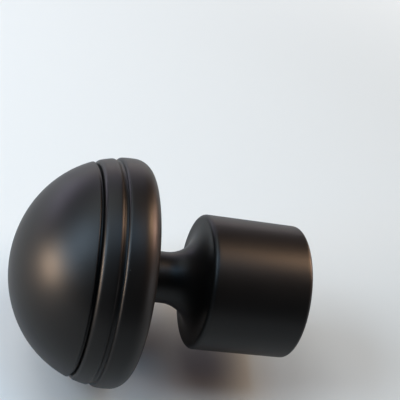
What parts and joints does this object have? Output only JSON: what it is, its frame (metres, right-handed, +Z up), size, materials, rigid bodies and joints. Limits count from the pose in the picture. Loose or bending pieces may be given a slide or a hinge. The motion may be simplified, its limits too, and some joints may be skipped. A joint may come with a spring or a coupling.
{
  "type": "curtain pole finial",
  "caption": "Round-headed finial for a 28 mm curtain pole: a grooved dome on a waisted neck, with a socketed collar and a grub screw beneath.",
  "frame": {"origin": "centre of the socket's blind end, on the pole's axis, where the end of the pole stops", "axes": "+X along the pole's axis out of the collar's mouth, so the head points to -X; +Z up, with the grub screw on the underside"},
  "size_m": [0.0714, 0.0564, 0.0564],
  "materials": {
    "black_coating": "satin black coating with a soft sheen and very fine dust",
    "screw_steel": "black-oxide steel"
  },
  "bodies": {
    "root": {"finial_body": "black_coating", "grub_screw": "screw_steel"}
  },
  "joints": []
}
